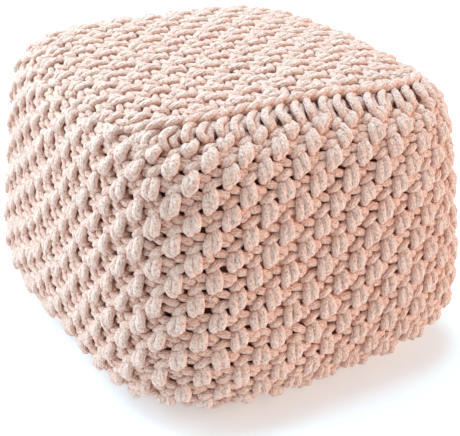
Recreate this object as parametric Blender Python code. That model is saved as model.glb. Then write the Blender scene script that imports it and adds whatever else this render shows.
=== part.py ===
"""A knitted floor pouf, in metres with +Z up.

The cover is three knitted pieces: a side band that runs all the way round, a top panel and a
base panel. A raised chain seam joins the top panel to the band. The pouf is filled, so the band
is one solid with its filling, and the two panels lie flush in it.

Every piece follows one outside surface, a soft rounded block. A place on it is given by how far
round it is (a share of the way round) and by how far down it is (metres from the middle of the
top, over the edge and down the side). A third number says how deep under the surface a point is.
"""

import math

import bmesh
import bpy
import numpy as np
from mathutils import Vector

# --- Outside surface -----------------------------------------------------------------------
HALF_WIDTH = 0.225  # along X, at the widest level before the taper
HALF_DEPTH = 0.250  # along Y
BLOCK_HEIGHT = 0.350  # the rounded block, with the slice that the floor presses flat
PRESSED_FLAT = 0.010  # height of that slice
WIDEST_LEVEL = 0.60  # share of the block's height
PLAN_POWER = 3.9  # 2 is an oval seen from above, 10 a sharp-cornered block
CROWN_POWER = 6.0  # the same for the side view, above the widest level
FOOT_POWER = 4.4  # and below it
TAPER = 0.08  # the foot is this share wider than the middle, the top this share narrower
TWIST = math.radians(-4.2)  # the top is turned against the foot by this much

# --- Seams ---------------------------------------------------------------------------------
TOP_SEAM = 0.1925  # from the middle of the top to the chain seam, at the corners
TOP_SEAM_SWING = 0.0215  # further out than that at the X sides, further in at the Y sides
BASE_SEAM = 0.585  # from the middle of the top to the seam with the base panel
CHAIN_RADIUS = 0.0052
CHAIN_SWELL = 0.09  # share by which each chain stitch swells and thins
CHAIN_LIFT = 0.0015  # how far the chain's middle stands above the surface
CHAIN_STITCHES = 62

# --- Pieces --------------------------------------------------------------------------------
TOP_THICKNESS = 0.014
BASE_THICKNESS = 0.012
GAP = 0.0003  # between flat faces that touch
CURVED_GAP = 0.0012  # between curved ones, whose points and triangles differ
CHAIN_CLEAR = 0.0062  # from the chain's middle line to the edges of the band and the top panel
CHAIN_BED = 0.0065  # depth of the band's edge under the chain

# --- Fineness ------------------------------------------------------------------------------
TOP_CELLS = 16  # cells across the top panel
BASE_CELLS = 16
BAND_CELLS = 20  # two rings more than a panel on each side
BAND_LEVELS = 15
STEPS_PER_CHAIN_STITCH = 4

YARN = (0.78, 0.50, 0.40)
CHAIN_YARN = (0.80, 0.53, 0.43)
YARN_ROUGHNESS = 0.9

MEAN_HALF = 0.5 * (HALF_WIDTH + HALF_DEPTH)
HEIGHT = BLOCK_HEIGHT - PRESSED_FLAT
WIDEST = WIDEST_LEVEL * BLOCK_HEIGHT


def clear_scene():
    for thing in list(bpy.data.objects):
        bpy.data.objects.remove(thing, do_unlink=True)


def new_collection(name):
    collection = bpy.data.collections.new(name)
    bpy.context.scene.collection.children.link(collection)
    return collection


def cotton(name, colour):
    material = bpy.data.materials.new(name)
    material.use_nodes = True
    shader = material.node_tree.nodes["Principled BSDF"]
    shader.inputs["Base Color"].default_value = (*colour, 1.0)
    shader.inputs["Roughness"].default_value = YARN_ROUGHNESS
    shader.inputs["Metallic"].default_value = 0.0
    return material


# --- The surface as curves walked by length --------------------------------------------------
def plan_table(steps=2880):
    """The outline seen from above, and the share of its length at each of its points."""
    angle = np.linspace(0.0, 2.0 * math.pi, steps + 1)
    c, s = np.cos(angle), np.sin(angle)
    reach = (np.abs(c) ** PLAN_POWER + np.abs(s) ** PLAN_POWER) ** (-1.0 / PLAN_POWER)
    x, y = HALF_WIDTH * c * reach, HALF_DEPTH * s * reach
    walked = np.concatenate([[0.0], np.cumsum(np.hypot(np.diff(x), np.diff(y)))])
    return walked / walked[-1], angle, x, y


def profile_table(steps=4000):
    """The side view from the middle of the top to the middle of the sole: share of the plan's
    size, and height, at each length walked."""
    turn = np.linspace(0.0, math.pi, steps + 1)
    s, c = np.abs(np.sin(turn)), np.cos(turn)
    power = np.where(c > 0.0, CROWN_POWER, FOOT_POWER)
    reach = (s**power + np.abs(c) ** power) ** (-1.0 / power)
    share, rise = s * reach, c * reach
    z = np.where(rise > 0.0, WIDEST + rise * (BLOCK_HEIGHT - WIDEST), WIDEST + rise * WIDEST)
    share = share * (1.0 - TAPER * (2.0 * z / BLOCK_HEIGHT - 1.0))
    walked = np.hypot(np.diff(share * MEAN_HALF), np.diff(z))
    return np.concatenate([[0.0], np.cumsum(walked)]), share, z - PRESSED_FLAT


PLAN = plan_table()
PROFILE = profile_table()


def on_block(around, down):
    """A point of the block's outside, before the floor presses it flat."""
    around = around % 1.0
    x, y = np.interp(around, PLAN[0], PLAN[2]), np.interp(around, PLAN[0], PLAN[3])
    share, z = np.interp(down, PROFILE[0], PROFILE[1]), np.interp(down, PROFILE[0], PROFILE[2])
    turn = TWIST * (z / HEIGHT - 0.5)
    c, s = math.cos(turn), math.sin(turn)
    return Vector((share * (x * c - y * s), share * (x * s + y * c), z))


def outward(around, down, step=0.002):
    """The direction straight out of the block there."""
    down = max(down, 2.0 * step)
    along = on_block(around + step, down) - on_block(around - step, down)
    over = on_block(around, down + step) - on_block(around, down - step)
    return over.cross(along).normalized()


def surface(around, down, depth=0.0):
    """A point of the pouf, depth under its outside and never below the floor."""
    point = on_block(around, down)
    if depth:
        point -= depth * outward(around, down)
    point.z = max(point.z, 0.0)
    return point


def top_seam(around):
    """How far down the chain seam runs, this far round."""
    angle = np.interp(around % 1.0, PLAN[0], PLAN[1])
    return TOP_SEAM + TOP_SEAM_SWING * math.cos(2.0 * angle)


# --- Boxes bent onto the surface ---------------------------------------------------------------
def bent_box(name, cells, levels, place, material, collection):
    """A cube cut into cells and levels, each of its points moved by place.

    place is given the share of the way round, the ring (0 in the middle, 1 at the edge) and the
    height in the cube (0 at its foot, 1 at its top)."""
    bm = bmesh.new()
    bmesh.ops.create_cube(bm, size=2.0)
    upright = [e for e in bm.edges if abs(e.verts[0].co.z - e.verts[1].co.z) > 1.0]
    flat = [e for e in bm.edges if e not in upright]
    bmesh.ops.subdivide_edges(bm, edges=flat, cuts=cells - 1, use_grid_fill=True)
    if levels > 1:
        upright = [e for e in bm.edges if abs(e.verts[0].co.z - e.verts[1].co.z) > 1.0]
        bmesh.ops.subdivide_edges(bm, edges=upright, cuts=levels - 1, use_grid_fill=True)
    for vert in bm.verts:
        x, y, z = vert.co
        ring = max(abs(x), abs(y))
        vert.co = place(square_share(x, y, ring), ring, 0.5 * (z + 1.0))
    bmesh.ops.recalc_face_normals(bm, faces=bm.faces)
    mesh = bpy.data.meshes.new(name)
    bm.to_mesh(mesh)
    bm.free()
    mesh.shade_smooth()
    mesh.set_sharp_from_angle(angle=math.radians(40.0))
    mesh.materials.append(material)
    thing = bpy.data.objects.new(name, mesh)
    collection.objects.link(thing)
    return thing


def square_share(x, y, ring):
    """Share of the way round a square, from the middle of its +X side towards its +Y side."""
    if ring == 0.0:
        return 0.0
    x, y = x / ring, y / ring
    if x >= 1.0 - 1e-6:
        side = 0.125 * y
    elif y >= 1.0 - 1e-6:
        side = 0.25 - 0.125 * x
    elif x <= -1.0 + 1e-6:
        side = 0.5 - 0.125 * y
    else:
        side = 0.75 + 0.125 * x
    return side % 1.0


def ring_number(ring, cells):
    return round(ring * cells / 2)


# --- Sub-parts -------------------------------------------------------------------------------
def build_top_panel(material, collection):
    """The domed top of the cover, as far as the chain seam."""

    def place(around, ring, up):
        down = ring * (top_seam(around) - CHAIN_CLEAR)
        return surface(around, down, (1.0 - up) * TOP_THICKNESS)

    return bent_box("top_panel", TOP_CELLS, 1, place, material, collection)


def build_base_panel(material, collection):
    """The flat panel that the pouf stands on."""

    def place(around, ring, up):
        point = sole_point(around, ring)
        point.z = up * BASE_THICKNESS
        return point

    return bent_box("base_panel", BASE_CELLS, 1, place, material, collection)


def sole_point(around, ring):
    """A point of the flat sole, on this ring of the base panel."""
    middle = on_block(0.0, PROFILE[0][-1])
    edge = surface(around, BASE_SEAM)
    return middle.lerp(edge, ring)


def build_side_band(material, collection):
    """The band with the filling: round the outside, and hollowed for the two panels."""
    half = BAND_CELLS // 2
    panel_rings = TOP_CELLS // 2
    bed_depth = TOP_THICKNESS + CURVED_GAP

    def place(around, ring, up):
        ring_here = ring_number(ring, BAND_CELLS)
        rim = top_seam(around) + CHAIN_CLEAR
        if ring_here == half:
            return surface(around, rim + (1.0 - up) * (BASE_SEAM - CURVED_GAP - rim))
        if up > 0.5:
            if ring_here > panel_rings:
                return surface(around, rim, CHAIN_BED)
            share = ring_here / panel_rings
            return surface(around, share * (top_seam(around) - CHAIN_CLEAR), bed_depth)
        point = sole_point(around, min(1.0, ring_here / panel_rings))
        if ring_here > panel_rings:
            point = surface(around, BASE_SEAM - CURVED_GAP)
        point.z = BASE_THICKNESS + GAP
        return point

    return bent_box("side_band", BAND_CELLS, BAND_LEVELS, place, material, collection)


def build_chain_seam(material, collection):
    """The raised chain between the band and the top panel, swelling at each stitch."""
    curve = bpy.data.curves.new("top_seam_chain", "CURVE")
    curve.dimensions = "3D"
    curve.bevel_depth = CHAIN_RADIUS
    curve.bevel_resolution = 2
    spline = curve.splines.new("POLY")
    count = CHAIN_STITCHES * STEPS_PER_CHAIN_STITCH
    spline.points.add(count - 1)
    spline.use_cyclic_u = True
    for i, point in enumerate(spline.points):
        around = i / count
        place = surface(around, top_seam(around), -CHAIN_LIFT)
        swell = math.cos(2.0 * math.pi * i / STEPS_PER_CHAIN_STITCH)
        point.co = (*place, 1.0)
        point.radius = 1.0 + CHAIN_SWELL * swell
    curve.materials.append(material)
    chain = bpy.data.objects.new("top_seam_chain", curve)
    collection.objects.link(chain)
    return chain


def main():
    clear_scene()
    pouf = new_collection("knitted_pouf")
    yarn = cotton("blush_cotton_yarn", YARN)
    chain_yarn = cotton("blush_cotton_chain", CHAIN_YARN)
    build_side_band(yarn, pouf)
    build_top_panel(yarn, pouf)
    build_base_panel(yarn, pouf)
    build_chain_seam(chain_yarn, pouf)


main()
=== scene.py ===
"""The knitted pouf as it looks: chunky seed stitch in blush cotton cord over a soft filling.

The cover's cord is real cord here. One stitch is settled first: a short length of cord that hooks
into its neighbours is pulled, bent and pushed until it lies as knitted cord does. Geometry Nodes
then repeat it over the band, the top and the base, and sweep the cord along it.

A place on the knit is a course (i) and a stitch along that course (j). On the band the courses
stand upright, so i counts round the pouf and j counts down it.
"""

import math

import bmesh
import bpy
import numpy as np
from mathutils import Matrix, Vector


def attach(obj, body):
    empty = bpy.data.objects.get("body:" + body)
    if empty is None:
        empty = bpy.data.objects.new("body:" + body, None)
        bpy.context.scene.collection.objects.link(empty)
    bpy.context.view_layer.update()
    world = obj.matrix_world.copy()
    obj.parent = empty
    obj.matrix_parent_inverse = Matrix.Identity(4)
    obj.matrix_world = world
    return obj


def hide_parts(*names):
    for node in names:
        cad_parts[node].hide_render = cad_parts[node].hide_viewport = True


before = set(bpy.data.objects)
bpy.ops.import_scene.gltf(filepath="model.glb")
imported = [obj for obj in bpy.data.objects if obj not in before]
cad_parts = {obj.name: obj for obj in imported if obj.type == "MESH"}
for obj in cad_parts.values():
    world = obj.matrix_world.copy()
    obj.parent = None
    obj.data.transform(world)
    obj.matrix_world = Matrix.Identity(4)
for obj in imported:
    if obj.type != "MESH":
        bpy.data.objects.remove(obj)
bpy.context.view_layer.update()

bl_info = {
    "name": "Knitted pouf",
    "version": (1, 0, 0),
    "blender": (4, 5, 0),
    "location": "View3D > Sidebar > Pouf",
    "description": "Knits a chunky cord cover over a soft square pouf, and lights it",
    "category": "Object",
}

# --- Outside surface, as the solids have it, in metres ---
HALF_WIDTH = 0.225  # along X, at the widest level before the taper
HALF_DEPTH = 0.250  # along Y
BLOCK_HEIGHT = 0.350  # the rounded block, with the slice that the floor presses flat
PRESSED_FLAT = 0.010
WIDEST_LEVEL = 0.60
PLAN_POWER = 3.9
CROWN_POWER = 6.0
FOOT_POWER = 4.4
TAPER = 0.08
TWIST = math.radians(-4.2)
MEAN_HALF = 0.5 * (HALF_WIDTH + HALF_DEPTH)
HEIGHT = BLOCK_HEIGHT - PRESSED_FLAT
WIDEST = WIDEST_LEVEL * BLOCK_HEIGHT

# --- Knit ---
STITCH = 0.0210  # along a course
COURSE = 0.0226  # from one course to the next
BAND_COURSES = 74  # round the pouf
BAND_FIRST = -1.05  # the chain seam, in stitches down the band
BAND_LAST = 14.6  # where the knit of the band ends, under the foot
TOP_SEAM = 0.1925  # from the middle of the top to the chain seam, at the corners
TOP_SEAM_SWING = 0.0215
NEAR_CORNER = math.radians(225.0)
NEAR_CORNER_COURSE = -0.29  # the course that lies on the near corner
SOLE_EDGE = 0.512  # from the middle of the top to where the knit of the base starts
CHART_SIDE = 0.60  # side of the square that the flat charts of top and base fill


# --- The outside surface ---
def superpower(x, y, power):
    """How far a rounded square reaches in the direction x, y."""
    return (np.abs(x) ** power + np.abs(y) ** power) ** (-1.0 / power)


def soft_step(value, low, high):
    """0 below low, 1 above high and a soft step between."""
    share = np.clip((value - low) / (high - low), 0.0, 1.0)
    return share * share * (3.0 - 2.0 * share)


def window(value, rise, full, fall, end):
    """0 up to rise, 1 from full to fall, 0 again from end, and soft steps between."""
    return soft_step(value, rise, full) * (1.0 - soft_step(value, fall, end))


def plan_point(turn):
    """The outline seen from above, at this angle of its formula."""
    c, s = np.cos(turn), np.sin(turn)
    reach = superpower(c, s, PLAN_POWER)
    return HALF_WIDTH * c * reach, HALF_DEPTH * s * reach


def profile_table(steps=4000):
    """Share of the plan's size, and height, at each length walked from the top's middle."""
    turn = np.linspace(0.0, math.pi, steps + 1)
    s, c = np.abs(np.sin(turn)), np.cos(turn)
    power = np.where(c > 0.0, CROWN_POWER, FOOT_POWER)
    reach = superpower(s, c, power)
    share, rise = s * reach, c * reach
    z = np.where(rise > 0.0, WIDEST + rise * (BLOCK_HEIGHT - WIDEST), WIDEST + rise * WIDEST)
    share = share * (1.0 - TAPER * (2.0 * z / BLOCK_HEIGHT - 1.0))
    walked = np.hypot(np.diff(share * MEAN_HALF), np.diff(z))
    return np.concatenate([[0.0], np.cumsum(walked)]), share, z - PRESSED_FLAT


PROFILE = profile_table()
WHOLE_WAY = PROFILE[0][-1]


def on_block(turn, down):
    """Points of the block's outside, before the floor presses it flat."""
    x, y = plan_point(turn)
    share = np.interp(down, PROFILE[0], PROFILE[1])
    z = np.interp(down, PROFILE[0], PROFILE[2])
    twist = TWIST * (z / HEIGHT - 0.5)
    c, s = np.cos(twist), np.sin(twist)
    return np.stack([share * (x * c - y * s), share * (x * s + y * c), z], axis=-1)


POLE = 0.004  # this near the middle of top or sole, the outside faces straight up or down


def outward(turn, down, step=0.002, turn_step=0.01):
    """The direction straight out of the block there."""
    down = np.clip(down, 2.0 * step, WHOLE_WAY - 2.0 * step)
    along = on_block(turn + turn_step, down) - on_block(turn - turn_step, down)
    over = on_block(turn, down + step) - on_block(turn, down - step)
    out = np.cross(over, along)
    return out / np.linalg.norm(out, axis=-1, keepdims=True)


SEAM_CLIMB = 0.0045  # the seam lies this much further in on the -Y side
CORNER_CLIMB = 0.0060  # and this much more beside the near corner
SEAM_CLIMB_TURNS = (3.7, 4.1, 5.5, 5.9)  # in radians of the plan's formula
CORNER_CLIMB_TURN = 4.1
CORNER_CLIMB_WIDTH = 0.4


def top_seam(turn):
    """How far down the chain seam runs, this far round. On the -Y side it climbs onto the top,
    most of all beside the near corner."""
    turn = np.mod(turn, 2.0 * math.pi)
    climb = SEAM_CLIMB * window(turn, *SEAM_CLIMB_TURNS)
    corner = np.exp(-(((turn - CORNER_CLIMB_TURN) / CORNER_CLIMB_WIDTH) ** 2))
    climb = climb + CORNER_CLIMB * corner
    return TOP_SEAM + TOP_SEAM_SWING * np.cos(2.0 * turn) - climb


LUMP = 0.0028  # height of the cover's swells


def soft_lumps(points):
    """Slow swells and hollows of a few millimetres, as a stuffed cover has."""
    x, y, z = points[..., 0], points[..., 1], points[..., 2]
    slow = np.sin(11.0 * x + 7.0 * z + 0.6) * np.sin(9.0 * y - 8.0 * z + 1.9)
    quick = np.sin(23.0 * x - 17.0 * y + 2.2) * np.sin(19.0 * z + 13.0 * y + 0.4)
    return LUMP * (0.65 * slow + 0.35 * quick)


# --- One stitch, settled ---
SETTLE_BEADS = 26  # points of the line
SETTLE_STEPS = 1500
START_RISE = 5.0  # the wave's height and lean before it settles, in millimetres
START_LEAN = 1.0
START_THICKNESS = 0.35  # share of the cord's thickness at the start
SPRING = 0.4  # how strongly the cord keeps its length
STIFFNESS = 0.15  # how strongly it keeps straight
PUSH_OFF = 0.25  # how strongly two cords push each other off
LEGS_IN = 0.5
STRANDS_OUT = 0.2
PRESSED_THIN = 0.004  # how strongly the knit is pressed flat
SPEED_KEPT = 0.8
TOP_SPEED = 0.5


def settle_stitch(cord, length):
    """The middle line of one stitch of seed stitch, in millimetres.

    Its columns are the way along the course, the way across it, and the height. Every other
    stitch, along a course and across them, is the same one turned over. The line starts as a
    plain wave that passes over and under its neighbours, and is then pulled to its length,
    straightened by its stiffness, and pushed off its neighbours by the cord's thickness, which
    grows from a thread's. The legs, which run across the course, are drawn into the fabric,
    and the strands that run along it are pushed out, as in a cover stretched by its filling.
    """
    along, across = STITCH * 1000.0, COURSE * 1000.0
    beads = SETTLE_BEADS
    s = (np.arange(beads) + 0.5) / beads
    way = (s - 0.5) * along + 0.2 * along * np.sin(4 * np.pi * s)
    way = way + START_LEAN * np.sin(2 * np.pi * s)
    rise = -START_RISE * np.clip(3 * np.sin(np.pi * s), -1, 1) * np.cos(6 * np.pi * s)
    line = np.stack([way, -0.8 * across * np.cos(2 * np.pi * s), rise], axis=1)
    step_length = length / beads
    turned_over = np.array([1.0, 1.0, -1.0])
    next_stitch = np.array([along, 0.0, 0.0])
    near = [(k, m) for m in range(-3, 4) for k in range(-3, 4)]
    offsets = np.array([[k * along, m * across, 0.0] for k, m in near])
    flips = np.array([[1.0, 1.0, (-1.0) ** (k + m)] for k, m in near])
    index = np.arange(beads)
    own = np.zeros((len(near), beads, beads), bool)
    for a, (k, m) in enumerate(near):
        if m == 0:
            apart = np.abs(index[:, None] - (index[None] + k * beads)) * step_length
            own[a] = apart < 2.0 * cord

    speed = np.zeros_like(line)
    for step in range(SETTLE_STEPS):
        grown = (1.0 - START_THICKNESS) * step / (0.5 * SETTLE_STEPS)
        thickness = cord * min(1.0, START_THICKNESS + grown)
        over = line * turned_over
        chain = np.concatenate([over[-2:] - next_stitch, line, over[:2] + next_stitch])
        ahead = chain[3 : 3 + beads] - line
        reach = np.linalg.norm(ahead, axis=1, keepdims=True)
        pull = (reach - step_length) * ahead / reach
        force = SPRING * (pull - np.concatenate([(pull * turned_over)[-1:], pull[:-1]]))
        kink = 0.5 * (chain[1 : 1 + beads] + chain[3 : 3 + beads]) - line
        kinks = np.concatenate([(kink * turned_over)[-1:], kink, (kink * turned_over)[:1]])
        force += 2.0 * STIFFNESS * (kink - 0.5 * (kinks[:-2] + kinks[2:]))
        others = line[None] * flips[:, None] + offsets[:, None]
        away = line[None, :, None] - others[:, None]
        distance = np.sqrt((away**2).sum(3)) + 1e-9
        touching = ~own & (distance < thickness)
        push = np.where(touching, (thickness - distance) / distance, 0.0)
        force += PUSH_OFF * (away * push[..., None]).sum((0, 2))
        heading = chain[3 : 3 + beads] - chain[1 : 1 + beads]
        heading = np.abs(heading) / np.linalg.norm(heading, axis=1, keepdims=True)
        side = np.tanh(0.5 * line[:, 2])
        force[:, 2] += (STRANDS_OUT * heading[:, 0] - LEGS_IN * heading[:, 1]) * side
        force[:, 2] -= PRESSED_THIN * line[:, 2]
        speed = SPEED_KEPT * speed + force
        fast = np.linalg.norm(speed, axis=1, keepdims=True)
        speed *= np.minimum(1.0, TOP_SPEED / np.maximum(fast, 1e-9))
        line = line + 0.5 * speed
        line[:, :2] -= line[:, :2].mean(0)
    return line


# The change to the settled stitch, in millimetres
LOW_STRAND = 7.7  # middle of the right strand, along the course
HEAD_TURN = 0.20  # slope that stands the left strand upright
HEAD_BOW = 1.4
HEAD_HALF = 8.0  # half the head's length
NEXT_STRAND = -4.0  # left of this the right strand is the one of the stitch before
RAISED = (1.0, 5.0)  # height over which a strand counts as raised
RIGHT = (9.0, 15.0)  # way across over which it counts as the right one
LOWER_END = (-2.0, 5.0)  # way along the right strand over which its lower end passes
RIGHT_NEARER = 2.7
RIGHT_OUT = 0.4
LOWER_END_OUT = 3.2
LOWER_END_DROP = 6.5
TOP_UPRIGHT = 0.45  # share of the change that the looser knit of top and base takes


def made_upright(line):
    """The settled stitch with its two raised strands side by side, as the cover's stretch has it.

    The head of the stitch, on the left, is turned upright and bowed out. The strand on its right
    reaches further down, comes nearer and stands further out."""
    along = STITCH * 1000.0
    way, across, height = line.T.copy()
    raised = soft_step(np.abs(height), *RAISED)
    head = across > 0.0
    bow = HEAD_BOW * (1.0 - (way / HEAD_HALF) ** 2)
    before = way < NEXT_STRAND
    from_middle = way - np.where(before, LOW_STRAND - along, LOW_STRAND)
    side = np.where(before, 1.0, -1.0)
    right = np.where(head, 0.0, soft_step(-across, *RIGHT))
    lower_end = right * (1.0 - soft_step(from_middle, *LOWER_END))
    across = across + np.where(head, (HEAD_TURN * way + bow) * raised, RIGHT_NEARER * right)
    height = height + np.where(head, 0.0, side * (RIGHT_OUT * raised + LOWER_END_OUT * lower_end))
    way = way - LOWER_END_DROP * lower_end
    return np.stack([way, across, height], axis=1)


def smooth_line(points, count, closing, bias=0.0):
    """count points along the smooth curve through points, which repeats after closing.

    With a bias the points gather where the curve bends."""
    cycle = np.concatenate([points[-1:] - closing, points, points[:2] + closing])
    fine = []
    for a, b, c, d in zip(cycle[:-3], cycle[1:-2], cycle[2:-1], cycle[3:]):
        for t in np.linspace(0.0, 1.0, 8, endpoint=False):
            curl = (2 * a - 5 * b + 4 * c - d) * t**2 + (3 * b - a - 3 * c + d) * t**3
            fine.append(0.5 * (2 * b + (c - a) * t + curl))
    fine = np.array(fine)
    ends = np.concatenate([fine[-1:] - closing, fine, fine[:1] + closing])
    steps = np.diff(ends, axis=0)
    length = np.linalg.norm(steps, axis=1)
    way = steps / length[:, None]
    bends = np.concatenate([[0.0], np.linalg.norm(np.diff(way, axis=0), axis=1)])
    weight = length[1:] + bias * np.roll(bends, -1)[: len(fine)]
    walked = np.concatenate([[0.0], np.cumsum(weight)])
    wanted = np.arange(count) / count * walked[-1]
    whole = np.concatenate([fine, fine[:1] + closing])
    return np.stack([np.interp(wanted, walked, whole[:, a]) for a in range(3)], axis=1)


LEGS_LIFT = 1.2  # millimetres by which the strands between the raised ones are lifted
LEGS_HEIGHT = 3.5  # strands within this height of the knit's middle are lifted most
RELIEF = 1.08  # how much further the filling pushes the raised strands out
BEND_WEIGHT = 6.0  # how strongly points gather in the bends


def stitch_pair(line, count):
    """A stitch and the next one, turned over, as a line in stitches, courses and metres."""
    along, across = STITCH * 1000.0, COURSE * 1000.0
    pair = np.concatenate([line, line * [1.0, 1.0, -1.0] + [along, 0.0, 0.0]])
    closing = np.array([2.0 * along, 0.0, 0.0])
    pair = smooth_line(pair, 2 * count, closing, bias=BEND_WEIGHT)
    pair = np.concatenate([pair, pair[:1] + closing])
    height = pair[:, 2] * np.where(pair[:, 2] > 0.0, RELIEF, 1.0)
    height = (height + LEGS_LIFT * np.exp(-((height / LEGS_HEIGHT) ** 2))) / 1000.0
    return np.stack([-pair[:, 1] / across, -pair[:, 0] / along, height], axis=1)


# --- Charts: the surfaces that the knit is laid on ---
def grid_mesh(name, points, chart, normals, room, ridge, calm):
    """A grid of points as a mesh that carries its chart place, its outside, its room from the
    knit's edge, how far the nearest seam stands out, and how flat the stretch pulls the knit."""
    rows, columns = points.shape[:2]
    index = np.arange(rows * columns).reshape(rows, columns)
    faces = np.stack(
        [index[:-1, :-1], index[:-1, 1:], index[1:, 1:], index[1:, :-1]], axis=-1
    ).reshape(-1, 4)
    mesh = bpy.data.meshes.new(name)
    mesh.from_pydata(points.reshape(-1, 3).tolist(), [], faces.tolist())
    store(mesh, "chart", "FLOAT_VECTOR", "vector", np.append(chart, 0 * chart[..., :1], axis=-1))
    store(mesh, "outward", "FLOAT_VECTOR", "vector", normals)
    for key, values in (("room", room), ("ridge", ridge), ("calm", calm)):
        store(mesh, key, "FLOAT", "value", values)
    return mesh


def store(mesh, name, kind, field, values):
    attribute = mesh.attributes.new(name, kind, "POINT")
    attribute.data.foreach_set(field, np.asarray(values, np.float32).ravel())


def placed(name, data):
    """A new object in the scene."""
    thing = bpy.data.objects.new(name, data)
    bpy.context.scene.collection.objects.link(thing)
    return thing


def helper(name, mesh):
    """An object that a modifier reads. It is removed when the piece is done."""
    thing = placed(name, mesh)
    thing.hide_render = True
    return thing


def baked(thing, name):
    """The object's evaluated mesh as a new plain mesh, with the modifiers removed."""
    graph = bpy.context.evaluated_depsgraph_get()
    mesh = bpy.data.meshes.new_from_object(thing.evaluated_get(graph))
    mesh.name = name
    thing.modifiers.clear()
    thing.data = mesh
    return mesh


def as_mesh(bm, name):
    mesh = bpy.data.meshes.new(name)
    bm.to_mesh(mesh)
    bm.free()
    return mesh


def drop(*things):
    for thing in things:
        mesh = thing.data
        bpy.data.objects.remove(thing, do_unlink=True)
        if mesh.users == 0:
            bpy.data.meshes.remove(mesh)


COURSE_MIDDLES = 0.020  # share by which courses are wider at the middles of the sides
COURSE_X_SIDES = 0.119  # and on the X sides, where the cover is stretched more
STITCH_MIDDLES = 0.050  # share by which stitches are taller at the middles of the sides
STITCH_Y_SIDES = 0.047  # and on the Y sides


def course_turns(steps=2880):
    """The angle of the plan's formula at each course, from a fine table."""
    turn = np.linspace(0.0, 2.0 * math.pi, steps + 1)
    x, y = plan_point(turn)
    step = np.hypot(np.diff(x), np.diff(y))
    middle = 0.5 * (turn[1:] + turn[:-1])
    width = 1.0 + COURSE_MIDDLES * np.cos(4.0 * middle) + COURSE_X_SIDES * np.cos(2.0 * middle)
    courses = np.concatenate([[0.0], np.cumsum(step / width)])
    courses *= BAND_COURSES / courses[-1]
    corner = np.interp(NEAR_CORNER, turn, courses)
    return courses - corner + NEAR_CORNER_COURSE, turn


def band_stitch_height(turn):
    """How far one stitch reaches down the band, this far round."""
    taller = STITCH_MIDDLES * np.cos(4.0 * turn) - STITCH_Y_SIDES * np.cos(2.0 * turn)
    return STITCH * (1.0 + taller)


SEAM_LEAN = 0.54  # courses for each stitch by which the knit under the ridge leans to the right
SEAM_LEAN_FROM = 0.6  # in stitches down the band
SEAM_LEAN_TURNS = (4.2, 5.2, 5.7, 6.2)


def band_place(course, stitch):
    """The angle and the way down of a place on the band's knit."""
    courses, turns = course_turns()
    lean = SEAM_LEAN * np.maximum(SEAM_LEAN_FROM - stitch, 0.0)
    place = courses[0] + (course - courses[0]) % BAND_COURSES
    turn = np.interp(place, courses, turns)
    lean = lean * window(turn, *SEAM_LEAN_TURNS)
    turn = np.interp(place + lean, courses, turns)
    down = top_seam(turn) + (stitch - BAND_FIRST) * band_stitch_height(turn)
    return turn, down


def near_side(turn, reach, fade):
    """1 on the -Y side and 0 beyond its corners: reach says how far round them it goes."""
    share = soft_step(reach - np.cos(2.0 * turn), 0.0, fade)
    return np.where(np.sin(turn) < 0.0, share, 0.0)


RIDGE_REACH = (0.60, 0.55)  # where the chain stands up as a ridge
BULGE_REACH = (1.05, 0.80)  # where the knit bulges
CORNER_BULGE = 0.4  # how much it still bulges beside the near corner, on the -X side
BULGE_TURN = 3.84
BULGE_WIDTH = 0.17


def calmness(turn):
    """1 where the cover is pulled flat, 0 where the knit bulges, and less on the near corner."""
    corner = np.exp(-(((turn - BULGE_TURN) / BULGE_WIDTH) ** 2))
    return 1.0 - near_side(turn, *BULGE_REACH) - CORNER_BULGE * corner


def rested(points):
    """The same points, none of them under the floor."""
    points = points.copy()
    points[..., 2] = np.maximum(points[..., 2], 0.0)
    return points


CALM_LIFT = 0.0025  # the flattened knit is raised, so that its strands still reach the outside
CALM_LIFT_ROWS = (0.0, 6.0)  # stitches down the band
FOOT_LIFT = 0.0030  # the -X side's foot spreads a little on the floor
FOOT_LIFT_ROWS = (8.0, 13.0)
FOOT_LIFT_TURNS = (2.0, 2.6, 3.9, 4.4)
BAND_ROWS = 64  # fineness of the band's chart
RIDGE_ROWS = 6.0  # stitches down the band over which the ridge has an effect
CHAIN_HALF = 0.15  # stitches from the chain's middle line to the edge of the band


def band_chart():
    """The band from the chain seam to the sole, with a place across it for each course."""
    share = np.linspace(0.0, 1.0, 2 * BAND_COURSES + 1)
    stitch = np.linspace(BAND_FIRST - 0.5, BAND_LAST + 0.5, BAND_ROWS)
    i, j = np.meshgrid(share * BAND_COURSES, stitch)
    turn, down = band_place(i, j)
    normals = outward(turn, down)
    points = on_block(turn, down)
    calm = calmness(turn)
    foot = window(turn, *FOOT_LIFT_TURNS) * soft_step(j, *FOOT_LIFT_ROWS)
    lift = CALM_LIFT * calm * soft_step(j, *CALM_LIFT_ROWS) + FOOT_LIFT * foot
    points = rested(points + (soft_lumps(points) + lift)[..., None] * normals)
    height = (j - stitch[0]) / (stitch[-1] - stitch[0])
    ridge = near_side(turn, *RIDGE_REACH) * (j < RIDGE_ROWS)
    room = np.minimum(j - BAND_FIRST - CHAIN_HALF, BAND_LAST - j) * STITCH
    chart = np.stack([i / BAND_COURSES, height], -1)
    mesh = grid_mesh("band_chart", points, chart, normals, room, ridge, calm)
    return helper("band_chart", mesh)


FLAT_CALM = 0.8  # how flat the knit of top and base lies, as a share of the band's flattest
FLAT_ROWS = 81  # fineness of their charts
TOP_CHART_REACH = 0.235  # from the middle of the chart to its sides
BASE_CHART_REACH = 0.285


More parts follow.
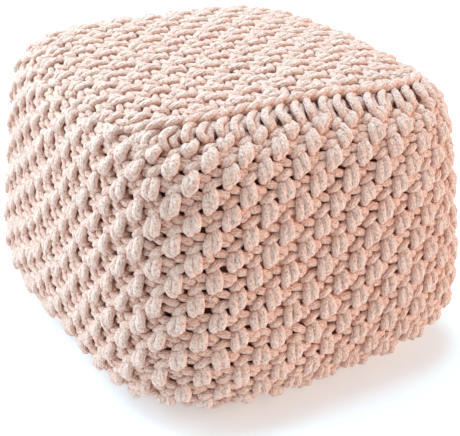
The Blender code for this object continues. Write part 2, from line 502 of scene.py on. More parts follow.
def flat_chart(name, reach, below):
    """A chart of the top, or of the base if below is true, on a flat square of metres."""
    side = np.linspace(-reach, reach, FLAT_ROWS)
    x, y = np.meshgrid(side, side)
    turn = np.arctan2(y / HALF_DEPTH, x / HALF_WIDTH)
    plan = np.hypot(*plan_point(turn))
    walked = np.hypot(x, y) * MEAN_HALF / plan
    down = WHOLE_WAY - walked if below else walked
    room = down - SOLE_EDGE if below else top_seam(turn) - down
    normals = outward(turn, down)
    middle = walked < POLE
    normals[middle] = (0.0, 0.0, -1.0 if below else 1.0)
    points = on_block(turn, down)
    points = rested(points + soft_lumps(points)[..., None] * normals)
    chart = np.stack([x, y], -1) / CHART_SIDE + 0.5
    none = 0.0 * turn
    calm = none + FLAT_CALM
    return helper(name, grid_mesh(name, points, chart, normals, room, none, calm))


# --- Nodes written as sums ---
class Wire:
    """A socket's output, usable in sums. Each operation adds one Math node to its tree."""

    def __init__(self, board, socket):
        self.board = board
        self.socket = socket

    def __add__(self, other):
        return self.board.math("ADD", self, other)

    def __sub__(self, other):
        return self.board.math("SUBTRACT", self, other)

    def __rsub__(self, other):
        return self.board.math("SUBTRACT", other, self)

    def __mul__(self, other):
        return self.board.math("MULTIPLY", self, other)

    def __truediv__(self, other):
        return self.board.math("DIVIDE", self, other)

    def __lt__(self, other):
        return self.board.math("LESS_THAN", self, other)

    __radd__ = __add__
    __rmul__ = __mul__


class Board:
    """Adds nodes to one tree."""

    def __init__(self, tree):
        self.tree = tree

    def add(self, kind, settings=None, **values):
        """A node of this type. Its settings are set first, then its sockets."""
        node = self.tree.nodes.new(kind)
        for name, value in (settings or {}).items():
            setattr(node, name, value)
        self.fill(node, **values)
        return node

    def fill(self, node, **values):
        """Sets or links sockets of a node, each given by its identifier with _ for a space, or
        as in_3 by its number. A value that is a Wire is linked."""
        for name, value in values.items():
            if name.startswith("in_"):
                socket = node.inputs[int(name[3:])]
            else:
                socket = next(s for s in node.inputs if s.identifier.replace(" ", "_") == name)
            if isinstance(value, Wire):
                self.tree.links.new(value.socket, socket)
            else:
                socket.default_value = value

    def out(self, node, name=0):
        """A wire from one output of a node, by its number or name."""
        if isinstance(name, int):
            shown = [socket for socket in node.outputs if socket.enabled]
            return Wire(self, shown[name])
        return Wire(self, node.outputs[name])

    def get(self, kind, settings=None, **values):
        """A wire from the first output of a new node."""
        return self.out(self.add(kind, settings, **values))

    def math(self, operation, *values):
        values = {f"in_{number}": value for number, value in enumerate(values)}
        return self.get("ShaderNodeMath", {"operation": operation}, **values)

    def vector(self, x, y, z):
        return self.get("ShaderNodeCombineXYZ", X=x, Y=y, Z=z)

    def parts(self, wire):
        node = self.add("ShaderNodeSeparateXYZ", Vector=wire)
        return [Wire(self, socket) for socket in node.outputs]

    def mixed(self, factor, first, second):
        """From the first colour to the second."""
        kind = {"data_type": "RGBA", "clamp_factor": True}
        return self.get("ShaderNodeMix", kind, Factor_Float=factor, A_Color=first, B_Color=second)

    def smooth(self, value, low, high):
        """0 below low, 1 above high and a soft step between."""
        soft = {"interpolation_type": "SMOOTHSTEP"}
        return self.get("ShaderNodeMapRange", soft, Value=value, in_1=low, in_2=high)


# --- Geometry Nodes: cord on a chart ---
MERGE_DISTANCE = 0.0001
WANDER_SCALE = 0.83  # swells of the wander, for each stitch
WANDER_HEIGHT = 0.012  # metres of height for one stitch of wander sideways
TUCK_REACH = 0.010  # from the edge of a knit, where it starts to sink under its seam
LOOPS_SUNK = 0.028  # the same under the tall loops, where it lies deep
LOOPS_REACH = 0.044
FLAT_TUCK = 1.75  # times that sinking where the seam lies flat
RIDGE_TUCK = 0.62  # and under the tall loops
CALM_LOSS = 0.32  # share of the relief that is lost where the cover is pulled flat
CALM_THINNER = 0.09  # and of the cord's thickness
FLOOR_CLEAR = 0.0002  # between the floor and the cord that it presses flat
REST_SHARE = 0.98  # of the cord's radius, between its middle and the floor
KNIT_REACH = 0.007  # height of the knit's strands above its middle, and depth below it
FLATTEN_LOSS = 1.9  # how much lower a strand gets for each share that it gets wider

CORD_INPUTS = {
    "Object": ("Stitch", "Chart"),
    "Int": ("Courses", "Repeats", "Sides"),
    "Vector": ("First Place", "Course Step", "Repeat Step")
    + ("Chart Start", "Chart Course", "Chart Stitch"),
    "Float": ("Closed Round", "Depth", "Cord Radius", "Swell", "Flatten", "Lighter")
    + ("Edge", "Tuck", "Sink", "Wander", "Seed"),
    "Material": ("Material",),
}


def cord_tree():
    """Repeats a line of cord on a grid, lays it on a chart and sweeps a round section along it."""
    tree = bpy.data.node_groups.new("cord_on_a_chart", "GeometryNodeTree")
    tree.interface.new_socket("Geometry", in_out="OUTPUT", socket_type="NodeSocketGeometry")
    for kind, names in CORD_INPUTS.items():
        for name in names:
            tree.interface.new_socket(name, in_out="INPUT", socket_type="NodeSocket" + kind)
    board = Board(tree)
    given = board.add("NodeGroupInput")
    want = {name: board.out(given, name) for names in CORD_INPUTS.values() for name in names}

    def vector_math(operation, first, second):
        values = {"in_0": first, "Scale" if operation == "SCALE" else "in_1": second}
        return board.get("ShaderNodeVectorMath", {"operation": operation}, **values)

    def moved(start, way, share):
        return vector_math("ADD", start, vector_math("SCALE", way, share))

    def above(point, lowest):
        x, y, z = board.parts(point)
        return board.vector(x, y, board.math("MAXIMUM", z, lowest))

    def named(name, kind="FLOAT_VECTOR"):
        return board.get("GeometryNodeInputNamedAttribute", {"data_type": kind}, Name=name)

    def step(kind, geometry, settings=None, **values):
        return board.get("GeometryNode" + kind, settings, Geometry=geometry, **values)

    def kept(geometry, name, value, kind="FLOAT_VECTOR"):
        settings = {"data_type": kind, "domain": "POINT"}
        return step("StoreNamedAttribute", geometry, settings, Name=name, Value=value)

    def shape_of(thing):
        return board.out(board.add("GeometryNodeObjectInfo", Object=thing), "Geometry")

    # A grid of places, one for each repeat of the line.
    count = want["Courses"] * want["Repeats"]
    index = board.get("GeometryNodeInputIndex")
    course = board.math("MODULO", index, want["Courses"])
    repeat = board.math("FLOOR", index / want["Courses"])
    place = moved(want["First Place"], want["Course Step"], course)
    place = moved(place, want["Repeat Step"], repeat)
    grid = board.get("GeometryNodePoints", Count=count, Position=place)

    # The line at each place, joined end to end along its course.
    line = shape_of(want["Stitch"])
    line = board.get("GeometryNodeInstanceOnPoints", Points=grid, Instance=line)
    line = step("RealizeInstances", line)
    line = step("MergeByDistance", line, Distance=MERGE_DISTANCE)

    # Where each point lies on the chart, after a slow wander that makes the hand work uneven.
    here = board.get("GeometryNodeInputPosition")
    noise = {"Vector": here, "W": want["Seed"], "Scale": WANDER_SCALE, "Detail": 1.0}
    noise = board.add("ShaderNodeTexNoise", {"noise_dimensions": "4D"}, **noise)
    shift = vector_math("SUBTRACT", board.out(noise, "Color"), (0.5, 0.5, 0.5))
    shift = vector_math("SCALE", shift, want["Wander"])
    shift = vector_math("MULTIPLY", shift, (1.0, 1.0, WANDER_HEIGHT))
    i, j, height = board.parts(vector_math("ADD", here, shift))
    spot = moved(want["Chart Start"], want["Chart Course"], i)
    spot = moved(spot, want["Chart Stitch"], j)
    u, v, _ = board.parts(spot)
    u = u - want["Closed Round"] * board.math("FLOOR", u)
    spot = board.vector(u, v, 0.0)
    chart = shape_of(want["Chart"])

    def sampled(value, kind="FLOAT_VECTOR"):
        values = {"Mesh": chart, "Value": value, "Source_UV_Map": named("chart")}
        settings = {"data_type": kind}
        return board.get("GeometryNodeSampleUVSurface", settings, Sample_UV=spot, **values)

    names = ("room", "ridge", "calm")
    room, ridge, calm = [sampled(named(name, "FLOAT"), "FLOAT") for name in names]
    out = sampled(named("outward"))
    sunk_from = want["Edge"] + ridge * LOOPS_SUNK
    sunk_to = want["Edge"] + TUCK_REACH + ridge * (LOOPS_REACH - TUCK_REACH)
    near_edge = 1.0 - board.smooth(room, sunk_from, sunk_to)
    sunk = want["Tuck"] * near_edge * (FLAT_TUCK - (FLAT_TUCK - RIDGE_TUCK) * ridge)
    sunk = sunk + want["Sink"] * (1.0 - ridge)
    # How far the cord stands out, shifted by Lighter. It sets the cord's swell and flattening, and
    # the material paints shade on the low cord and a highlight on the raised cord from it.
    lift = board.smooth(height + want["Lighter"], -KNIT_REACH, KNIT_REACH)
    level = height * (1.0 - CALM_LOSS * calm) - sunk - want["Depth"]
    point = above(moved(sampled(here), out, level), want["Cord Radius"] * REST_SHARE)
    line = kept(line, "room", room, "FLOAT")
    line = kept(line, "lift", lift, "FLOAT")
    line = kept(line, "thick", 1.0 - CALM_THINNER * calm, "FLOAT")
    line = kept(line, "out", out)
    line = kept(line, "middle", point)
    line = step("SetPosition", line, Position=named("middle"))
    past_edge = named("room", "FLOAT") < want["Edge"]
    line = step("DeleteGeometry", line, {"domain": "POINT"}, Selection=past_edge)

    # The cord: a round section swept along each course, flatter where it is pressed outwards.
    line = board.get("GeometryNodeMeshToCurve", Mesh=line)
    length = board.out(board.add("GeometryNodeSplineParameter"), "Length")
    line = kept(line, "along", length, "FLOAT")
    section = board.get("GeometryNodeCurvePrimitiveCircle", Resolution=want["Sides"], Radius=1.0)
    section = kept(section, "across", here)
    lifted = named("lift", "FLOAT")
    thickness = want["Cord Radius"] * (1.0 + want["Swell"] * (lifted - 0.5))
    thickness = thickness * named("thick", "FLOAT")
    swept = {"Curve": line, "Profile_Curve": section, "Scale": thickness, "Fill_Caps": True}
    swept = board.get("GeometryNodeCurveToMesh", **swept)
    spoke = vector_math("SUBTRACT", here, named("middle"))
    up = {"in_0": spoke, "in_1": named("out")}
    up = board.out(board.add("ShaderNodeVectorMath", {"operation": "DOT_PRODUCT"}, **up), "Value")
    wide = want["Flatten"] * lifted
    lower = vector_math("SCALE", named("out"), up * wide * -FLATTEN_LOSS)
    shaped = vector_math("ADD", vector_math("SCALE", spoke, wide), lower)
    shaped = above(vector_math("ADD", here, shaped), FLOOR_CLEAR)
    done = step("SetPosition", swept, Position=shaped)
    done = step("SetShadeSmooth", done)
    done = step("RealizeInstances", done)
    done = step("SetMaterial", done, Material=want["Material"])
    board.add("NodeGroupOutput", in_0=done)
    return tree


def cord_piece(name, line, chart, values, material):
    """A piece of cord on a chart: the tree's result as a plain mesh."""
    mesh = bpy.data.meshes.new(name + "_line")
    edges = [(a, a + 1) for a in range(len(line) - 1)]
    mesh.from_pydata(line.tolist(), edges, [])
    source = helper(name + "_line", mesh)
    piece = placed(name, bpy.data.meshes.new(name + "_blank"))
    tree = bpy.data.node_groups.get("cord_on_a_chart") or cord_tree()
    knitter = piece.modifiers.new("cord", "NODES")
    knitter.node_group = tree
    sockets = {s.name: s.identifier for s in tree.interface.items_tree if s.in_out == "INPUT"}
    for key, value in {**values, "Stitch": source, "Chart": chart, "Material": material}.items():
        knitter[sockets[key]] = value
    bpy.context.view_layer.update()
    knitted = baked(piece, name)
    for used in ("room", "thick", "middle", "out"):
        if used in knitted.attributes:
            knitted.attributes.remove(knitted.attributes[used])
    drop(source)
    if len(knitted.polygons) == 0:
        raise RuntimeError(name + " has no cord")
    print(name, len(knitted.polygons) * 2, "triangles")
    return piece


# --- Materials ---
RIBS = 9.0  # lengthwise ribs round the cord
RIB_TURN = 0.075  # metres of cord in which the ribs turn once round it
RIB_WOBBLE = 5.0  # radians
WOBBLES = 260.0  # of the ribs, for each metre
GRAIN = 430.0  # spots of the fibre, for each metre
BLOTCH = 36.0  # slow random changes in how far the painted highlight reaches, for each metre
RIB_HEIGHT = 0.26  # of the ribs, against the spots
SPOT_TONE = 6.0  # how much the spots count in the fibre's tone
SPOT_HEIGHT = 3.6  # and in its bump
BUMP = 0.0009  # metres
PAINTED_SHADE_LIFT = (0.0, 0.50)  # how far the cord is lifted where it goes from the deep tone of the painted shade to the middle tone
PAINTED_HIGHLIGHT_LIFT = (0.65, 1.15)  # and from the middle tone to the light tone of the painted highlight
DARK_FIBRE = (0.30, -1.15)
DARK_SHARE = 0.62  # of the deep tone in the darkest fibre: random spots, and painted shade in the ribs' grooves
LIGHT_FIBRE = (0.40, 1.4)
PALE_SHARE = 0.44  # of the pale tone in the lightest fibre: random spots, and painted highlight on the ribs' crests
PALE = (0.96, 0.81, 0.73, 1.0)


def new_material(name):
    """A material with its board and its shader."""
    material = bpy.data.materials.new(name)
    material.use_nodes = True
    return material, Board(material.node_tree), material.node_tree.nodes["Principled BSDF"]


def cord_material(name):
    """Soft cotton cord: lengthwise ribs, speckled fibre, painted shade on the cord down in the knit
    and a painted highlight on its raised strands.
    """
    colours = bpy.context.scene.pouf_colours
    light, mid, deep = tuple(colours.light), tuple(colours.mid), tuple(colours.deep)
    material, board, shader = new_material(name)
    place = board.out(board.add("ShaderNodeTexCoord"), "Object")

    def attribute(name, output="Fac"):
        return board.out(board.add("ShaderNodeAttribute", {"attribute_name": name}), output)

    def noise(scale, detail=2.0):
        return board.get("ShaderNodeTexNoise", Vector=place, Scale=scale, Detail=detail)

    along, lift = attribute("along"), attribute("lift")
    x, y, _ = board.parts(attribute("across", "Vector"))
    angle = board.math("ARCTAN2", y, x) + along * (2.0 * math.pi / RIB_TURN)
    ribs = board.math("SINE", angle * RIBS + (noise(WOBBLES) - 0.5) * RIB_WOBBLE)
    grain = noise(GRAIN, 3.0)
    fibre = ribs * RIB_HEIGHT + (grain - 0.5) * SPOT_TONE
    # Painted shade: the cord takes the deep tone where it lies low in the knit.
    tone = board.mixed(board.smooth(lift, *PAINTED_SHADE_LIFT), deep, mid)
    # Painted highlight: the raised cord takes the light tone.
    raised = board.smooth(lift + (noise(BLOTCH) - 0.5) * 0.5, *PAINTED_HIGHLIGHT_LIFT)
    tone = board.mixed(raised, tone, light)
    # Darkest and palest fibre: random spots, with painted shade in the ribs' grooves and painted
    # highlight on their crests.
    tone = board.mixed(board.smooth(fibre, *DARK_FIBRE) * DARK_SHARE, tone, deep)
    tone = board.mixed(board.smooth(fibre, *LIGHT_FIBRE) * PALE_SHARE, tone, PALE)
    height = ribs * RIB_HEIGHT + grain * SPOT_HEIGHT
    bump = board.get("ShaderNodeBump", Strength=0.8, Distance=BUMP, Height=height)
    board.fill(shader, Base_Color=tone, Roughness=0.86 + (grain - 0.5) * 0.2, Normal=bump)
    board.fill(shader, Sheen_Weight=0.25, Sheen_Roughness=0.5, Specular_IOR_Level=0.2)
    return material


def plain_material(name, colour, roughness, spot_scale):
    """A dull surface with a slight unevenness."""
    material, board, shader = new_material(name)
    place = board.out(board.add("ShaderNodeTexCoord"), "Object")
    spots = board.get("ShaderNodeTexNoise", Vector=place, Scale=spot_scale, Detail=3.0)
    darker = (*(0.86 * c for c in colour[:3]), 1.0)
    tone = board.mixed(spots, colour, darker)
    board.fill(shader, Base_Color=tone, Roughness=roughness, Specular_IOR_Level=0.1)
    return material


# --- Filling ---
FILLING_DEPTH = 0.0165  # under the outside, after it swells by about SWELL_ROOM
SWELL_ROOM = 0.004
SWELL_PRESSURE = 4.0
SWELL_CAP = 0.006  # the furthest that a point may move
SWELL_FRAMES = 20
FILLING_FLOOR = 0.012  # the lowest that the filling reaches
FILLING_CUTS = 15
FILLING_VOXEL = 0.009
FILLING_EDGE = 0.19  # from the middle of the top, or of the sole, to the edge of its face


def filling_form(depth):
    """The filling before it swells: the pouf's own form, this far under its outside."""
    bm = bmesh.new()
    bmesh.ops.create_cube(bm, size=2.0)
    bmesh.ops.subdivide_edges(bm, edges=bm.edges[:], cuts=FILLING_CUTS, use_grid_fill=True)
    for vert in bm.verts:
        x, y, z = vert.co
        turn = math.atan2(y, x)
        ring = max(abs(x), abs(y))
        if z > 0.999:
            down = ring * FILLING_EDGE
        elif z < -0.999:
            down = WHOLE_WAY - ring * FILLING_EDGE
        else:
            down = FILLING_EDGE + (1.0 - z) * 0.5 * (WHOLE_WAY - 2.0 * FILLING_EDGE)
        down = min(max(down, 1e-4), WHOLE_WAY - 1e-4)
        point = on_block(turn, down)
        if ring < 1e-6 or down < POLE or down > WHOLE_WAY - POLE:
            out = np.array([0.0, 0.0, 1.0 if z > 0 else -1.0])
        else:
            out = outward(turn, down)
        point = point - depth * out
        point[2] = max(point[2], depth)
        vert.co = Vector(point)
    bmesh.ops.recalc_face_normals(bm, faces=bm.faces)
    return as_mesh(bm, "filling")


def swell(piece):
    """Blender's cloth, blown up a little with no gravity, each point's move capped."""
    scene = bpy.context.scene
    before = np.empty(len(piece.data.vertices) * 3, np.float32)
    piece.data.vertices.foreach_get("co", before)
    before = before.reshape(-1, 3)
    cloth = piece.modifiers.new("swell", "CLOTH")
    cloth.settings.use_pressure = True
    cloth.settings.uniform_pressure_force = SWELL_PRESSURE
    cloth.settings.effector_weights.gravity = 0.0
    cloth.settings.quality = 5
    cloth.point_cache.frame_start = 1
    cloth.point_cache.frame_end = SWELL_FRAMES
    for number in range(1, SWELL_FRAMES + 1):
        scene.frame_set(number)
    mesh = baked(piece, piece.name)
    after = np.empty(len(mesh.vertices) * 3, np.float32)
    mesh.vertices.foreach_get("co", after)
    moved = after.reshape(-1, 3) - before
    far = np.linalg.norm(moved, axis=1, keepdims=True)
    moved *= np.minimum(1.0, SWELL_CAP / np.maximum(far, 1e-9))
    after = before + moved
    after[:, 2] = np.maximum(after[:, 2], FILLING_FLOOR)
    mesh.vertices.foreach_set("co", after.astype(np.float32).ravel())
    scene.frame_set(1)


# --- Settings ---
class PoufCord(bpy.types.PropertyGroup):
    """Sizes of the cord and of the knit."""

    thickness: bpy.props.FloatProperty(
        name="Cord thickness",
        description="Diameter of the cotton cord where it lies loose",
        default=0.0080,
        unit="LENGTH",
    )
    stitch_length: bpy.props.FloatProperty(
        name="Cord in a stitch",
        description="Length that a stitch's cord is pulled towards as it settles",
        default=0.088,
        unit="LENGTH",
    )
    wander: bpy.props.FloatProperty(
        name="Unevenness",
        description="How far stitches stray from an even knit, in stitches",
        default=0.60,
        min=0.0,
    )
    points: bpy.props.IntProperty(
        name="Points in a stitch",
        description="Points of the swept cord in each stitch",
        default=20,
        min=8,
    )
    sides: bpy.props.IntProperty(
        name="Sides of the cord",
        description="Sides of the cord's round section",
        default=7,
        min=3,
    )


class PoufColours(bpy.types.PropertyGroup):
    """Colours of the yarn and the room. The light cord is a painted highlight; the deep cord and the
    inside are painted shade.
    """

    # Painted highlight: the tone of the raised cord.
    light: bpy.props.FloatVectorProperty(
        name="Light cord", description="Cord where it stands out", subtype="COLOR", size=4,
        default=(0.88, 0.575, 0.45, 1.0),
    )
    mid: bpy.props.FloatVectorProperty(
        name="Cord", description="Most of the cord", subtype="COLOR", size=4,
        default=(0.87, 0.51, 0.38, 1.0),
    )
    # Painted shade: the tone of the cord low in the knit.
    deep: bpy.props.FloatVectorProperty(
        name="Deep cord", description="Cord deep in the knit", subtype="COLOR", size=4,
        default=(0.56, 0.21, 0.125, 1.0),
    )
    # Painted shade: the inside is darker and redder than the cord and stands in for the shade in the
    # gaps between stitches.
    filling: bpy.props.FloatVectorProperty(
        name="Inside", description="What shows through the gaps", subtype="COLOR", size=4,
        default=(0.69, 0.33, 0.22, 1.0),
    )
    floor: bpy.props.FloatVectorProperty(
        name="Floor", description="Colour of the floor", subtype="COLOR", size=4,
        default=(0.87, 0.925, 0.95, 1.0),
    )


class PoufStage(bpy.types.PropertyGroup):
    """Light and camera."""

    window: bpy.props.FloatProperty(
        name="Window light", description="Power of the large soft light, in watts", default=93.0
    )
    overhead: bpy.props.FloatProperty(
        name="Overhead light", description="Power of the light overhead, in watts", default=134.0
    )
    side_fill: bpy.props.FloatProperty(
        name="Side light", description="Power of the light on the right, in watts", default=63.0
    )
    room: bpy.props.FloatProperty(
        name="Room light", description="Brightness of the white room", default=0.31
    )
    floor_glow: bpy.props.FloatProperty(
        name="Floor glow", description="Light that the white floor gives by itself", default=0.30
    )
    lens: bpy.props.FloatProperty(
        name="Lens", description="Focal length in millimetres", default=85.6
    )


# --- Pieces ---
SETTLED = None
SETTLE_THICKNESS = 7.2  # millimetres between the middles of two cords that touch

BAND_PAIRS = 9  # pairs of stitches along a course of the band
BEAD_ROW = 0.5  # the place along a course of its first raised strands
KNIT_DEPTH = 0.0128  # from the outside of the knit to its middle
KNIT_TUCK = 0.008  # how deep the knit sinks under its seam
STRAND_SWELL = 0.34  # how much thicker the cord is where it stands out than deep in the knit
STRAND_FLATTEN = 0.12  # how much wider, as the cover's stretch presses it
KNIT_EDGE = -0.007  # the knit runs on past its seam by this much
BASE_EDGE = 0.004  # but stops short of it under the foot
TOP_REACH = 0.222  # from the middle of the knit to its furthest stitches
BASE_REACH = 0.24
BASE_SIDES = 5  # sides of the cord's section on the base, which lies on the floor
FLAT_WANDER = 1.15  # times the band's wander
SEEDS = {"band": 3.0, "top": 11.0, "base": 23.0, "chain": 31.0, "loops": 37.0}


def yarn(name):
    """A material of the cord, made when it is first asked for."""
    return bpy.data.materials.get(name) or cord_material(name)


def settled_line(upright):
    """The settled stitch, with this share of its upright form. It settles once in a run."""
    global SETTLED
    if SETTLED is None:
        cord = bpy.context.scene.pouf_cord
        SETTLED = settle_stitch(SETTLE_THICKNESS, cord.stitch_length * 1000.0)
    return SETTLED + upright * (made_upright(SETTLED) - SETTLED)


def on_band():
    """How the courses and stitches of the band lie on its chart."""
    stitches = BAND_LAST - BAND_FIRST + 1.0
    return {
        "Chart Start": (0.0, (0.5 - BAND_FIRST) / stitches, 0.0),
        "Chart Course": (1.0 / BAND_COURSES, 0.0, 0.0),
        "Chart Stitch": (0.0, 1.0 / stitches, 0.0),
        "Closed Round": 1.0,
    }


def knit_cord():
    """The cord of a knit, laid in pairs of stitches on every other course."""
    return {
        "Course Step": (2.0, 0.0, 0.0),
        "Repeat Step": (0.0, -2.0, 0.0),
        "Depth": KNIT_DEPTH,
        "Cord Radius": 0.5 * bpy.context.scene.pouf_cord.thickness,
        "Swell": STRAND_SWELL,
        "Flatten": STRAND_FLATTEN,
        "Lighter": 0.0,
        "Tuck": KNIT_TUCK,
        "Sink": 0.0,
    }


def joined(parts):
    """The first of these pieces, with the others' meshes added to its own."""
    bm = bmesh.new()
    for part in parts:
        bm.from_mesh(part.data)
    bm.to_mesh(parts[0].data)
    bm.free()
    drop(*parts[1:])
    return parts[0]


def flat_knit(name, chart, node, reach, turned, seed, edge, sides):
    """The knit of the top or of the base, on its flat chart."""
    cord = bpy.context.scene.pouf_cord
    line = stitch_pair(settled_line(TOP_UPRIGHT), cord.points)
    courses = 2 * math.ceil(reach / COURSE) + 1
    pairs = math.ceil(reach / STITCH) + 1
    parts = []
    for parity, ending in enumerate(("", "_rest")):
        values = {
            **knit_cord(),
            "Courses": courses // 2 + 1,
            "Repeats": pairs,
            "First Place": (parity - courses // 2 - 1.0, BEAD_ROW - parity + pairs, 0.0),
            "Chart Start": (0.5, 0.5, 0.0),
            "Chart Course": (0.0, turned * COURSE / CHART_SIDE, 0.0),
            "Chart Stitch": (STITCH / CHART_SIDE, 0.0, 0.0),
            "Closed Round": 0.0,
            "Edge": edge,
            "Wander": FLAT_WANDER * cord.wander,
            "Seed": seed,
            "Sides": sides,
        }
        parts.append(cord_piece(name + ending, line, chart, values, yarn("blush_cord")))
    piece = joined(parts)
    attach(piece, "root")
    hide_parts(node)
    return piece


class POUF_OT_filling(bpy.types.Operator):
    """Make the soft filling that shows between the stitches"""

    bl_idname = "pouf.filling"
    bl_label = "Filling"

    def execute(self, context):
        piece = placed("filled_body", filling_form(FILLING_DEPTH + SWELL_ROOM))
        even = piece.modifiers.new("even", "REMESH")
        even.mode = "VOXEL"
        even.voxel_size = FILLING_VOXEL
        baked(piece, "filled_body")
        swell(piece)
        smoother = piece.modifiers.new("smoother", "SUBSURF")
        smoother.levels = smoother.render_levels = 1
        mesh = baked(piece, "filled_body")
        mesh.shade_smooth()
        # The inside's colour is painted shade for the gaps.
        colours = context.scene.pouf_colours
        mesh.materials.clear()
        mesh.materials.append(plain_material("inside_tone", tuple(colours.filling), 0.95, 60.0))
        print("filled_body", len(mesh.polygons) * 2, "triangles")
        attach(piece, "root")
        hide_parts("side_band")
        return {"FINISHED"}


class POUF_OT_band(bpy.types.Operator):
    """Knit the band that runs round the pouf"""

    bl_idname = "pouf.band"
    bl_label = "Side band"

    def execute(self, context):
        cord = context.scene.pouf_cord
        line = stitch_pair(settled_line(1.0), cord.points)
        chart = band_chart()
        last_pair = 2.0 * (BAND_PAIRS - 1)
        for parity, name in enumerate(("band_knit_even", "band_knit_odd")):
            values = {
                **on_band(),
                **knit_cord(),
                "Courses": BAND_COURSES // 2,
                "Repeats": BAND_PAIRS,
                "First Place": (parity, BEAD_ROW - parity + last_pair, 0.0),
                "Edge": KNIT_EDGE,
                "Wander": cord.wander,
                "Seed": SEEDS["band"],
                "Sides": cord.sides,
            }
            piece = cord_piece(name, line, chart, values, yarn("blush_cord"))
            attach(piece, "root")
            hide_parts("side_band")
        drop(chart)
        return {"FINISHED"}


class POUF_OT_top(bpy.types.Operator):
    """Knit the domed top"""

    bl_idname = "pouf.top"
    bl_label = "Top"

    def execute(self, context):
        chart = flat_chart("top_chart", TOP_CHART_REACH, False)
        sides = context.scene.pouf_cord.sides
        seed = SEEDS["top"]
        flat_knit("top_knit", chart, "top_panel", TOP_REACH, 1.0, seed, KNIT_EDGE, sides)
        drop(chart)
        return {"FINISHED"}


class POUF_OT_base(bpy.types.Operator):
    """Knit the flat base"""

    bl_idname = "pouf.base"
    bl_label = "Base"

    def execute(self, context):
        chart = flat_chart("base_chart", BASE_CHART_REACH, True)
        seed = SEEDS["base"]
        flat_knit("base_knit", chart, "base_panel", BASE_REACH, -1.0, seed, BASE_EDGE, BASE_SIDES)
        drop(chart)
        return {"FINISHED"}


CHAIN_POINTS = 13
CHAIN_SWAY = 0.0023  # how far a cord of the chain sways from its middle line
CHAIN_DEPTH = 0.0022
CHAIN_CORDS_APART = 0.00001  # in height, so that the two cords aren't merged
CHAIN_WANDER = 0.15
CHAIN_SIDES = 8
LOOP_POINTS = 13
TALL_LOOP = (  # in courses, stitches and millimetres of height
    (0.58, -1.05, -9.0),
    (0.46, -0.92, -3.0),
    (0.24, -0.72, 0.0),
    (-0.01, -0.45, 1.0),
    (-0.12, -0.12, 1.0),
    (-0.07, 0.12, 0.0),
    (0.04, 0.31, -3.0),
    (0.18, 0.44, -9.0),
)
BACK_STRAND_SIZE = (0.8, 0.95, 1.0)  # of a loop's back strand, as a share of its front one
BACK_STRAND = (0.42, 0.05, -0.0042)  # from the front strand to the back one
LOOP_DEPTH = 0.0045
LOOP_SWELL = 0.3
LOOP_WANDER = 1.5  # times the band's wander
LOOP_SIDES = 7
SEAM_CORD = {
    "Cord Radius": 0.0037,
    "Flatten": 0.0,
    "Edge": -0.05,  # so low that no point is past the edge
    "Tuck": 0.0,
    "Sink": 0.0190,  # where the seam lies flat, away from the -Y side
}


class POUF_OT_chain(bpy.types.Operator):
    """Lay the raised chain on the seam between band and top"""

    bl_idname = "pouf.chain"
    bl_label = "Chain seam"

    def execute(self, context):
        chart = band_chart()
        share = np.linspace(0.0, 1.0, CHAIN_POINTS)
        angle = 2.0 * math.pi * (share - 0.5)
        sway = CHAIN_SWAY * np.cos(angle) / STITCH
        line = np.stack([2.0 * share, sway, CHAIN_SWAY * np.sin(angle)], axis=1)
        values = {
            **on_band(),
            **SEAM_CORD,
            "Courses": BAND_COURSES // 2,
            "Repeats": 2,
            "First Place": (0.0, BAND_FIRST, 0.0),
            "Course Step": (2.0, 0.0, 0.0),
            "Repeat Step": (1.0, 0.0, CHAIN_CORDS_APART),
            "Depth": CHAIN_DEPTH,
            "Swell": 0.0,
            # Lighter moves the chain's painted tone towards the painted highlight.
            "Lighter": 0.003,
            "Wander": CHAIN_WANDER,
            "Seed": SEEDS["chain"],
            "Sides": CHAIN_SIDES,
        }
        piece = cord_piece("seam_chain", line, chart, values, yarn("blush_chain_cord"))
        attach(piece, "root")
        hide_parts("top_seam_chain")
        drop(chart)
        return {"FINISHED"}


class POUF_OT_loops(bpy.types.Operator):
    """Add the row of tall loops under the chain seam"""

    bl_idname = "pouf.loops"
    bl_label = "Tall loops"

    def execute(self, context):
        chart = band_chart()
        course, stitch, height = np.array(TALL_LOOP).T
        front = np.stack([course, stitch, height / 1000.0], axis=1)
        steps = np.linspace(0, len(front) - 1, LOOP_POINTS)
        front = np.stack([np.interp(steps, np.arange(len(front)), column) for column in front.T], 1)
        back = front * BACK_STRAND_SIZE + BACK_STRAND
        values = {
            **on_band(),
            **SEAM_CORD,
            "Courses": BAND_COURSES,
            "Repeats": 1,
            "First Place": (0.0, 0.0, 0.0),
            "Course Step": (1.0, 0.0, 0.0),
            "Repeat Step": (0.0, -2.0, 0.0),
            "Depth": LOOP_DEPTH,
            "Swell": LOOP_SWELL,
            # Lighter moves the loops' painted tone towards the painted highlight, and swells their
            # cord a little.
            "Lighter": 0.006,
            "Wander": LOOP_WANDER * context.scene.pouf_cord.wander,
            "Seed": SEEDS["loops"],
            "Sides": LOOP_SIDES,
        }
        parts = [
            cord_piece(name, line, chart, values, yarn("blush_cord"))
            for name, line in (("tall_loops", front), ("tall_loops_back", back))
        ]
        piece = joined(parts)
        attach(piece, "root")
        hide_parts("side_band")
        drop(chart)
        return {"FINISHED"}


WHITE = (1.0, 1.0, 1.0, 1.0)
WINDOW_PLACE = (-2.2, 1.6, 1.3)
WINDOW_COLOUR = (0.60, 0.84, 1.0)
OVERHEAD_PLACE = (-0.4, 0.6, 2.6)
OVERHEAD_COLOUR = (0.48, 0.79, 1.0)
SIDE_PLACE = (2.2, -2.0, 0.9)
SIDE_COLOUR = (1.0, 0.91, 0.84)
FLOOR_HALF = 12.0
CAMERA_PLACE = (-0.5866, -1.0363, 0.7103)
CAMERA_TARGET = (0.013536, 0.0, 0.1179)
CAMERA_ROLL = 0.0072  # radians about its line of sight


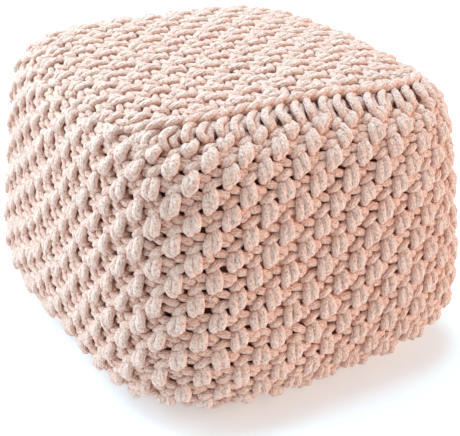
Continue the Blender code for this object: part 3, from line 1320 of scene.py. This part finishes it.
class POUF_OT_stage(bpy.types.Operator):
    """Set up the floor, the lights and the camera"""

    bl_idname = "pouf.stage"
    bl_label = "Floor, light and camera"

    def execute(self, context):
        scene = context.scene
        settings = scene.pouf_stage
        bm = bmesh.new()
        bmesh.ops.create_grid(bm, x_segments=2, y_segments=2, size=FLOOR_HALF)
        floor = placed("floor", as_mesh(bm, "floor"))
        pale = plain_material("pale_floor", tuple(scene.pouf_colours.floor), 0.9, 2.0)
        shader = pale.node_tree.nodes["Principled BSDF"]
        shader.inputs["Emission Color"].default_value = WHITE
        shader.inputs["Emission Strength"].default_value = settings.floor_glow
        floor.data.materials.append(pale)

        world = bpy.data.worlds.new("white_room")
        scene.world = world
        world.use_nodes = True
        background = world.node_tree.nodes["Background"]
        background.inputs["Color"].default_value = WHITE
        background.inputs["Strength"].default_value = settings.room

        for name, energy, colour, size, place in (
            ("window", settings.window, WINDOW_COLOUR, (2.6, 2.0), WINDOW_PLACE),
            ("overhead", settings.overhead, OVERHEAD_COLOUR, (2.4, 2.4), OVERHEAD_PLACE),
            ("side_fill", settings.side_fill, SIDE_COLOUR, (2.0, 1.6), SIDE_PLACE),
        ):
            light = bpy.data.lights.new(name, "AREA")
            light.energy = energy
            light.color = colour
            light.shape = "RECTANGLE"
            light.size, light.size_y = size
            lamp = placed(name, light)
            lamp.location = place
            lamp.rotation_euler = (-lamp.location).to_track_quat("-Z", "Y").to_euler()

        view = bpy.data.cameras.new("camera")
        view.lens = settings.lens
        view.sensor_width = 36.0
        view.clip_end = 50.0
        camera = placed("camera", view)
        camera.location = CAMERA_PLACE
        aim = (Vector(CAMERA_TARGET) - Vector(CAMERA_PLACE)).to_track_quat("-Z", "Y").to_matrix()
        camera.rotation_euler = (aim @ Matrix.Rotation(CAMERA_ROLL, 3, "Z")).to_euler()
        scene.camera = camera
        scene.view_settings.view_transform = "Standard"
        return {"FINISHED"}


class POUF_PT_panel(bpy.types.Panel):
    """Sizes, colours and steps of the knitted pouf"""

    bl_idname = "POUF_PT_panel"
    bl_label = "Knitted pouf"
    bl_space_type = "VIEW_3D"
    bl_region_type = "UI"
    bl_category = "Pouf"

    def draw(self, context):
        layout = self.layout
        for group in (context.scene.pouf_cord, context.scene.pouf_colours, context.scene.pouf_stage):
            box = layout.box()
            for name in group.__annotations__:
                box.prop(group, name)
        for operator in STEPS:
            layout.operator(operator.bl_idname)


GROUPS = {"pouf_cord": PoufCord, "pouf_colours": PoufColours, "pouf_stage": PoufStage}
KNITTING = (POUF_OT_band, POUF_OT_top, POUF_OT_base, POUF_OT_chain, POUF_OT_loops)
STEPS = (POUF_OT_stage, POUF_OT_filling, *KNITTING)


def register():
    for group in GROUPS.values():
        bpy.utils.register_class(group)
    for name, group in GROUPS.items():
        setattr(bpy.types.Scene, name, bpy.props.PointerProperty(type=group))
    for operator in STEPS:
        bpy.utils.register_class(operator)
    bpy.utils.register_class(POUF_PT_panel)


def unregister():
    bpy.utils.unregister_class(POUF_PT_panel)
    for operator in reversed(STEPS):
        bpy.utils.unregister_class(operator)
    for name in GROUPS:
        delattr(bpy.types.Scene, name)
    for group in reversed(GROUPS.values()):
        bpy.utils.unregister_class(group)


def main():
    register()
    for operator in STEPS:
        group, name = operator.bl_idname.split(".")
        getattr(getattr(bpy.ops, group), name)()


if __name__ == "__main__":
    main()
